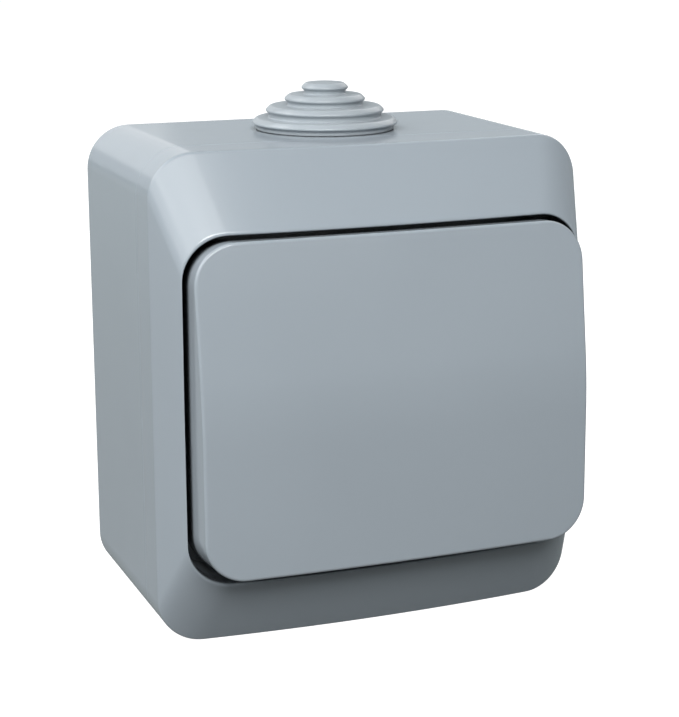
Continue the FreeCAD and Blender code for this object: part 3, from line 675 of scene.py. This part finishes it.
# Turns a profile into a round solid, cuts the drive slot, and sets one on every place
def buildTurnedTree():
    tree, given, out = startTree("turnedParts", [
        ("Profile", "Object"), ("Segments", "Int"), ("Lay Over", "Vector"),
        ("Slot Size", "Vector"), ("Slot Floor", "Float"), ("Finish", "Material")])
    source = addNode(tree, "GeometryNodeObjectInfo", {"Object": given.outputs["Profile"]})
    points = addNode(tree, "GeometryNodeAttributeDomainSize", {0: source.outputs["Geometry"]})
    rows = addMath(tree, "ADD", given.outputs["Segments"], 1.0)
    sheet = addNode(tree, "GeometryNodeMeshGrid", {
        "Vertices X": points.outputs["Point Count"], "Vertices Y": rows})
    index = addNode(tree, "GeometryNodeInputIndex").outputs[0]
    # the small share keeps a whole number from falling to the one before it
    column = addMath(tree, "FLOOR", addMath(tree, "ADD", addMath(tree, "DIVIDE", index, rows), 0.0001))
    row = addMath(tree, "MODULO", index, rows)
    turn = addMath(tree, "DIVIDE", addMath(tree, "MULTIPLY", row, 2 * math.pi), given.outputs["Segments"])
    where = addNode(tree, "GeometryNodeInputPosition")
    sample = addNode(tree, "GeometryNodeSampleIndex", {
        "Geometry": source.outputs["Geometry"], "Value": where.outputs[0], "Index": column},
        data_type="FLOAT_VECTOR")
    spot = addNode(tree, "ShaderNodeSeparateXYZ", {0: sample.outputs["Value"]})
    spun = addNode(tree, "ShaderNodeCombineXYZ", {
        "X": addMath(tree, "MULTIPLY", spot.outputs["X"], addMath(tree, "COSINE", turn)),
        "Y": addMath(tree, "MULTIPLY", spot.outputs["X"], addMath(tree, "SINE", turn)),
        "Z": spot.outputs["Z"]})
    turned = addNode(tree, "GeometryNodeSetPosition", {
        "Geometry": sheet.outputs["Mesh"], "Position": spun.outputs[0]})
    welded = addNode(tree, "GeometryNodeMergeByDistance", {
        "Geometry": turned.outputs[0], "Distance": weldGap})
    slotSize = addNode(tree, "ShaderNodeSeparateXYZ", {0: given.outputs["Slot Size"]})
    halfTall = addMath(tree, "MULTIPLY", slotSize.outputs["Z"], 0.5)
    lift = addNode(tree, "ShaderNodeCombineXYZ", {
        "Z": addMath(tree, "ADD", given.outputs["Slot Floor"], halfTall)})
    slotBlock = addNode(tree, "GeometryNodeMeshCube", {"Size": given.outputs["Slot Size"]})
    slotPlaced = addNode(tree, "GeometryNodeTransform", {
        "Geometry": slotBlock.outputs["Mesh"], "Translation": lift.outputs[0]})
    carve = addNode(tree, "GeometryNodeMeshBoolean", {
        0: welded.outputs[0], 1: slotPlaced.outputs[0]}, operation="DIFFERENCE")
    laid = addNode(tree, "GeometryNodeTransform", {
        "Geometry": carve.outputs[0], "Rotation": given.outputs["Lay Over"]})
    repeated = addNode(tree, "GeometryNodeInstanceOnPoints", {
        "Points": given.outputs["Geometry"], "Instance": laid.outputs[0]})
    finishTree(tree, repeated.outputs[0], given.outputs["Finish"], out)
    return tree


# A wound wire from the origin up
def buildSpringTree():
    tree, given, out = startTree("woundSpring", [
        ("Wire Radius", "Float"), ("Coil Radius", "Float"), ("Length", "Float"), ("Coils", "Float"),
        ("Finish", "Material")])
    path = addNode(tree, "GeometryNodeCurveSpiral", {
        "Resolution": 36, "Rotations": given.outputs["Coils"], "Start Radius": given.outputs["Coil Radius"],
        "End Radius": given.outputs["Coil Radius"], "Height": given.outputs["Length"]})
    section = addNode(tree, "GeometryNodeCurvePrimitiveCircle", {
        "Resolution": 12, "Radius": given.outputs["Wire Radius"]})
    wire = addNode(tree, "GeometryNodeCurveToMesh", {
        "Curve": path.outputs[0], "Profile Curve": section.outputs[0], "Fill Caps": True})
    finishTree(tree, wire.outputs[0], given.outputs["Finish"], out)
    return tree


def setInputs(modifier, values):
    for item in modifier.node_group.interface.items_tree:
        if item.item_type == "SOCKET" and item.in_out == "INPUT" and item.name in values:
            modifier[item.identifier] = values[item.name]


def runTree(obj, tree, values):
    modifier = obj.modifiers.new(tree.name, "NODES")
    modifier.node_group = tree
    setInputs(modifier, values)
    settleModifiers(obj)
    faceOutwards(obj)
    shadeSurface(obj)


# Softens the corners of a profile of radius and height pairs. A corner takes at most a share of each side
def softenProfile(points, rounding, steps=3, mostShare=0.45):
    soft = [points[0]]
    for before, corner, after in zip(points, points[1:], points[2:]):
        corner = Vector(corner)
        toBefore, toAfter = Vector(before) - corner, Vector(after) - corner
        reach = min(rounding, toBefore.length * mostShare, toAfter.length * mostShare)
        start = corner + toBefore.normalized() * reach
        end = corner + toAfter.normalized() * reach
        soft += [tuple(cornerPoint(start, corner, end, i / steps)) for i in range(steps + 1)]
    soft.append(points[-1])
    return soft


def makeTurned(name, profile, spots, layOver, slot, segments, finish):
    wire = bpy.data.meshes.new("profile")
    wire.from_pydata([(radius * mm, 0, height * mm) for radius, height in profile],
                     [(i, i + 1) for i in range(len(profile) - 1)], [])
    profileObject = bpy.data.objects.new("profile", wire)
    bpy.context.scene.collection.objects.link(profileObject)
    obj = makeObject(name, spots, [])
    runTree(obj, turnedTree, {
        "Profile": profileObject, "Segments": segments, "Lay Over": layOver,
        "Slot Size": [size * mm for size in slot["size"]], "Slot Floor": slot["floor"] * mm,
        "Finish": finishes[finish]})
    bpy.data.objects.remove(profileObject)
    return obj


turnedTree = buildTurnedTree()
springTree = buildSpringTree()
toFront = (math.pi / 2, 0.0, 0.0)
upright = (0.0, 0.0, 0.0)
noSlot = {"size": (0.5, 0.5, 0.5), "floor": 40.0}  # stays clear of the piece


# Cable grommet: soft rings stepped up like a cone, closed at its tip

grommetShape = {
    "topFace": coverShape["halfHeight"], "wall": coverShape["wall"], "entryDepth": 16.36,
    "holeRadius": 9.6, "flangeRadius": 11.0, "flangeThickness": 1.1, "skin": 1.1,
    "ringRadii": [11.48, 9.30, 6.34, 3.66], "ringHeights": [1.20, 3.08, 4.82, 6.60],
    "rimSlope": 0.66, "rimRise": 0.64, "rimEdge": 0.25,
    "footInset": 0.55, "neckInset": 0.42, "neckDrop": 0.62, "rounding": 0.3, "segments": 160,
}


def grommetProfile(shape):
    radii, heights = shape["ringRadii"], shape["ringHeights"]
    shelves = [height + shape["rimRise"] for height in heights]
    hole, skin = shape["holeRadius"], shape["skin"]
    insets = [shape["footInset"]] + [shape["neckInset"]] * (len(radii) - 1)
    outside = [(hole, 0.0)]
    for radius, height, below, shelf, inset in zip(radii, heights, [0.0] + shelves, shelves, insets):
        outside += [(radius - inset, below), (radius - inset, height - shape["neckDrop"]),
                    (radius, height - shape["rimEdge"]), (radius, height),
                    (radius - shape["rimSlope"], shelf)]
    outside.append((0.0, shelves[-1]))
    inside = [(0.0, shelves[-1] - skin)]
    for i in range(len(radii) - 1, 0, -1):
        inner = radii[i] - shape["neckInset"] - skin
        inside += [(inner, shelves[i] - skin), (inner, shelves[i - 1] - skin)]
    underWall = -shape["wall"]
    flangeEnd = underWall - shape["flangeThickness"]
    inside += [(hole - skin, shelves[0] - skin), (hole - skin, flangeEnd),
               (shape["flangeRadius"], flangeEnd), (shape["flangeRadius"], underWall),
               (hole, underWall), (hole, 0.0)]
    return softenProfile(outside, shape["rounding"]) + softenProfile(inside, shape["rounding"])


cableGrommet = makeTurned(
    "cableGrommet", grommetProfile(grommetShape),
    [place(0, grommetShape["entryDepth"], grommetShape["topFace"])], upright, noSlot,
    grommetShape["segments"], "grommet")
dress(cableGrommet, "casing", "grommet", "cable_grommet")
print("cable grommet made:", len(cableGrommet.data.polygons), "faces")


# Screws, rivets and the plunger's spring

mountingScrew = {"radius": 1.5, "headRadius": 2.75, "headHeight": 2.0}
clampScrew = {"radius": 1.2, "headRadius": 2.1, "headHeight": 1.6}
screwShapes = {
    "coverScrews": dict(mountingScrew, length=13.0, bearing=coverShape["floorDepth"],
                        spots=coverShape["screwSpots"], node="cover_screws"),
    "mechanismScrews": dict(mountingScrew, length=12.0, bearing=20.0,
                            spots=[(-22.5, 0.0), (22.5, 0.0)], node="mechanism_screws"),
    "terminalScrews": dict(clampScrew, length=3.7, bearing=23.3,
                           spots=[(0.0, 15.4), (0.0, -15.4), (-11.0, 15.4)], node="terminal_screws"),
    "parkScrews": dict(clampScrew, length=4.7, bearing=11.9,
                       spots=[(19.9, 22.0), (24.1, 22.0)], node="park_screws"),
}
screwDetail = {
    "threadPitch": 0.8, "threadDepth": 0.24, "threadEnd": 0.2, "tipShare": 0.8, "tipRise": 0.3,
    "roundShare": 0.35, "roundSteps": 6, "segments": 40,
    "slotWidth": 0.8, "slotDepth": 0.9, "slotTall": 4.0, "slotReach": 2.2,
}


# From the tip up: thread rings on the shank, then a cheese head with a rounded edge
def screwProfile(shape, detail):
    radius, root, tip = shape["radius"], shape["radius"] - detail["threadDepth"], -shape["length"]
    points = [(0.0, tip), (root * detail["tipShare"], tip)]
    height = tip + detail["tipRise"]
    while height < -detail["threadPitch"]:
        points += [(root, height), (radius, height + detail["threadPitch"] * 0.5)]
        height += detail["threadPitch"]
    points += [(radius, -detail["threadEnd"]), (radius, 0.0)]
    headRadius, headHeight = shape["headRadius"], shape["headHeight"]
    rounding = headHeight * detail["roundShare"]
    points += [(headRadius, 0.0), (headRadius, headHeight - rounding)]
    for i in range(1, detail["roundSteps"] + 1):
        turn = math.radians(90 * i / detail["roundSteps"])
        points.append((headRadius - rounding * (1 - math.cos(turn)),
                       headHeight - rounding * (1 - math.sin(turn))))
    points.append((0.0, headHeight))
    return points


for name, shape in screwShapes.items():
    spots = [place(x, shape["bearing"], z) for x, z in shape["spots"]]
    slot = {"size": (shape["headRadius"] * screwDetail["slotReach"], screwDetail["slotWidth"],
                     screwDetail["slotTall"]),
            "floor": shape["headHeight"] - screwDetail["slotDepth"]}
    screws = makeTurned(name, screwProfile(shape, screwDetail), spots, toFront, slot,
                        screwDetail["segments"], "plated_steel")
    dress(screws, "casing", "plated_steel", shape["node"])
    print(name, "made:", len(screws.data.polygons), "faces")

rivetShape = {
    "radius": 1.0, "headRadius": 1.8, "headHeight": 0.6, "back": 8.0, "front": 25.6,
    "rounding": 0.22, "segments": 40, "spots": [(12.0, 15.0), (-12.0, -15.0)],
}


def rivetProfile(shape):
    length = shape["front"] - shape["back"]
    head = shape["headHeight"]
    points = [(0.0, -head), (shape["headRadius"], -head), (shape["headRadius"], 0.0),
              (shape["radius"], 0.0), (shape["radius"], length), (shape["headRadius"], length),
              (shape["headRadius"], length + head), (0.0, length + head)]
    return softenProfile(points, shape["rounding"])


plateRivets = makeTurned(
    "plateRivets", rivetProfile(rivetShape),
    [place(x, rivetShape["back"], z) for x, z in rivetShape["spots"]], toFront, noSlot,
    rivetShape["segments"], "brass")
dress(plateRivets, "casing", "brass", "plate_rivets")

springShape = {
    "wireRadius": 0.17, "coilRadius": 1.28, "coils": 7.0, "endGap": 0.05,
    "behindPivot": 5.0, "beforePivot": keyShape["boreRise"],
}


def makeSpring(shape, keyValues):
    inset = shape["wireRadius"] + shape["endGap"]
    length = shape["behindPivot"] + shape["beforePivot"] - 2 * inset
    obj = makeObject("plungerSpring", [Vector((0, 0, 0))], [])
    runTree(obj, springTree, {
        "Wire Radius": shape["wireRadius"] * mm, "Coil Radius": shape["coilRadius"] * mm,
        "Length": length * mm, "Coils": shape["coils"], "Finish": finishes["spring_steel"]})
    foot = Matrix.Translation(place(0, keyValues["pivotDepth"] - shape["behindPivot"] + inset, 0))
    layOver = Matrix.Rotation(toFront[0], 4, "X")
    obj.data.transform(tiltAtPivot(keyValues) @ foot @ layOver)
    return obj


plungerSpring = makeSpring(springShape, keyShape)
dress(plungerSpring, "rocker", "spring_steel", "plunger_spring")
print("rivets and spring made")


# Finishes for the CAD nodes that stay

kept = {
    "cover_gasket": "seal", "rocker_boot": "seal", "plunger": "steel_pin",
    "mechanism_base": "mechanism_moulding", "mechanism_plate": "mechanism_plate_moulding",
    "contact_lever": "brass", "lever_tips": "silver", "common_contact": "brass",
    "upper_contact": "brass", "lower_contact": "brass", "fixed_tips": "silver",
    "terminal_clamps": "brass", "park_terminal": "brass",
}
for nodeName, slotName in kept.items():
    for materialSlot in nodes[nodeName].material_slots:
        materialSlot.material = finishes[slotName]
print("CAD nodes finished:", len(kept))


# Floor, world and lamps. Places and sizes are metres

floorLook = {
    "height": -0.0375, "reach": 6.0, "glow": 0.97, "shade": 0.30, "bounce": 0.10,
    # in a gloss, the share of white grows from near to far behind the switch
    "glossTint": (0.80, 0.97, 1.0), "inGloss": (0.21, 0.38), "glossFromTo": (0.05, 0.40),
}


# How far a ray counts as seeing the white setting: fully by eye or through glass, partly in a gloss
def whiteShare(tree, path, inGloss):
    gloss = addMath(tree, "MULTIPLY", path.outputs["Is Glossy Ray"], inGloss)
    seen = addMath(tree, "MAXIMUM", gloss, path.outputs["Is Camera Ray"])
    return addMath(tree, "MAXIMUM", seen, path.outputs["Is Transmission Ray"])


def whiteTone(tree, path, glossTint):
    return mixTones(tree, path.outputs["Is Glossy Ray"], (1, 1, 1), glossTint)


def greyTone(level):
    return (level, level, level, 1)


# White where it is seen, with the object's soft shadow, and a weak bounce onto the object
def floorMaterial(look):
    material = bpy.data.materials.new("paleFloor")
    material.use_nodes = True
    tree = material.node_tree
    tree.nodes.clear()
    path = addNode(tree, "ShaderNodeLightPath")
    shade = addNode(tree, "ShaderNodeBsdfDiffuse", {"Color": greyTone(look["shade"])})
    glow = addNode(tree, "ShaderNodeEmission", {
        "Color": whiteTone(tree, path, look["glossTint"]), "Strength": look["glow"]})
    seen = addNode(tree, "ShaderNodeAddShader", {0: shade.outputs[0], 1: glow.outputs[0]})
    bounce = addNode(tree, "ShaderNodeBsdfDiffuse", {"Color": greyTone(look["bounce"])})
    where = addNode(tree, "ShaderNodeTexCoord").outputs["Object"]
    behind = addNode(tree, "ShaderNodeSeparateXYZ", {0: where}).outputs["Y"]
    inGloss = mapValue(tree, behind, *look["glossFromTo"], *look["inGloss"])
    mix = addNode(tree, "ShaderNodeMixShader", {
        0: whiteShare(tree, path, inGloss), 1: bounce.outputs[0], 2: seen.outputs[0]})
    addNode(tree, "ShaderNodeOutputMaterial", {"Surface": mix.outputs[0]})
    return material


reach, level = floorLook["reach"], floorLook["height"]
floor = makeObject("paleFloor", [
    Vector((-reach, -reach, level)), Vector((reach, -reach, level)),
    Vector((reach, reach, level)), Vector((-reach, reach, level))], [(0, 1, 2, 3)])
floor.data.materials.append(floorMaterial(floorLook))
# The floor casts no shadow rays, so that the painted crevice shade counts only the switch itself
floor.visible_shadow = False  # so that the crevices count only the switch itself

worldLook = {
    "colour": (0.93, 0.97, 1.0), "ambient": 0.035,
    "glossTint": (0.86, 0.95, 1.0), "glossAtHorizon": 0.70, "glossAbove": 0.02, "fadeTo": 0.5,
}


def makeWorld(look):
    world = bpy.data.worlds.new("whiteStudio")
    world.use_nodes = True
    tree = world.node_tree
    tree.nodes.clear()
    path = addNode(tree, "ShaderNodeLightPath")
    dim = addNode(tree, "ShaderNodeBackground", {
        "Color": (*look["colour"], 1), "Strength": look["ambient"]})
    white = addNode(tree, "ShaderNodeBackground", {"Color": whiteTone(tree, path, look["glossTint"])})
    where = addNode(tree, "ShaderNodeTexCoord").outputs["Generated"]
    rise = addNode(tree, "ShaderNodeSeparateXYZ", {0: where}).outputs["Z"]
    inGloss = mapValue(tree, rise, 0, look["fadeTo"], look["glossAtHorizon"], look["glossAbove"])
    mix = addNode(tree, "ShaderNodeMixShader", {
        0: whiteShare(tree, path, inGloss), 1: dim.outputs[0], 2: white.outputs[0]})
    addNode(tree, "ShaderNodeOutputWorld", {"Surface": mix.outputs[0]})
    bpy.context.scene.world = world


makeWorld(worldLook)

# Each lamp: degrees round from the front and up, metres away, size, watts, and its roll in degrees
lampAim = Vector((0.0, -0.03, 0.0))
farLamp = {"reach": 1.2, "roll": 0}
lamps = {
    "frontBox": dict(farLamp, turn=-10, rise=36, size=(0.7, 0.3), watts=10.9),
    "frontLeftBox": dict(farLamp, turn=-40, rise=22, size=(0.7, 0.26), watts=1.4),
    "leftBox": dict(farLamp, turn=-88, rise=32, size=(0.9, 0.8), watts=4.6),
    "rearLeftBox": dict(farLamp, turn=-118, rise=40, size=(0.8, 0.8), watts=7.6),
    "rearGlow": dict(farLamp, turn=-169, rise=23, size=(1.17, 0.55), watts=1.2),
    "rightFill": dict(farLamp, turn=128, rise=34, size=(0.8, 0.7), watts=3.2),
    "frontGlow": dict(farLamp, turn=10, rise=10, size=(0.5, 0.2), watts=0.2),
    "cornerStrip": dict(farLamp, turn=-38.8, rise=47.5, size=(1.58, 0.26), watts=1.2, roll=31),
    "nearStrip": dict(farLamp, turn=-35, rise=46, size=(0.4, 0.12), watts=0.44, roll=31, reach=0.36),
}


def makeLamp(name, look):
    light = bpy.data.lights.new(name, "AREA")
    light.shape = "RECTANGLE"
    light.size, light.size_y = look["size"]
    light.energy = look["watts"]
    obj = bpy.data.objects.new(name, light)
    bpy.context.scene.collection.objects.link(obj)
    turn, rise = math.radians(look["turn"]), math.radians(look["rise"])
    way = Vector((math.sin(turn) * math.cos(rise), -math.cos(turn) * math.cos(rise), math.sin(rise)))
    obj.location = lampAim + way * look["reach"]
    obj.rotation_euler = (-way).to_track_quat("-Z", "Y").to_euler()
    obj.rotation_euler.rotate_axis("Z", math.radians(look["roll"]))


for lampName, lampLook in lamps.items():
    makeLamp(lampName, lampLook)
print("floor, world and lamps set:", len(lamps), "lamps")


# Camera: its spot is in metres, its turns in degrees, its focal length in pixels and its sensor in mm

cameraLook = {
    "spot": (-0.10788, -0.29815, 0.07431), "yaw": 21.72, "pitch": 14.32,
    "focalPixels": 1906.21, "principal": (350.53, 374.43), "frameSize": (679, 717), "sensor": 36.0,
}


def makeCamera(look):
    yaw, pitch = math.radians(look["yaw"]), math.radians(look["pitch"])
    wide, high = look["frameSize"]
    data = bpy.data.cameras.new("viewpoint")
    data.sensor_width = look["sensor"]
    data.lens = look["focalPixels"] * look["sensor"] / high
    data.shift_x = (wide / 2 - look["principal"][0]) / high
    data.shift_y = (look["principal"][1] - high / 2) / high
    data.clip_start = 0.01
    obj = bpy.data.objects.new("viewpoint", data)
    bpy.context.scene.collection.objects.link(obj)
    obj.location = look["spot"]
    aim = Vector((math.sin(yaw) * math.cos(pitch), math.cos(yaw) * math.cos(pitch), -math.sin(pitch)))
    obj.rotation_euler = aim.to_track_quat("-Z", "Y").to_euler()
    bpy.context.scene.camera = obj


makeCamera(cameraLook)
bpy.context.scene.view_settings.view_transform = "Standard"
print("camera set")
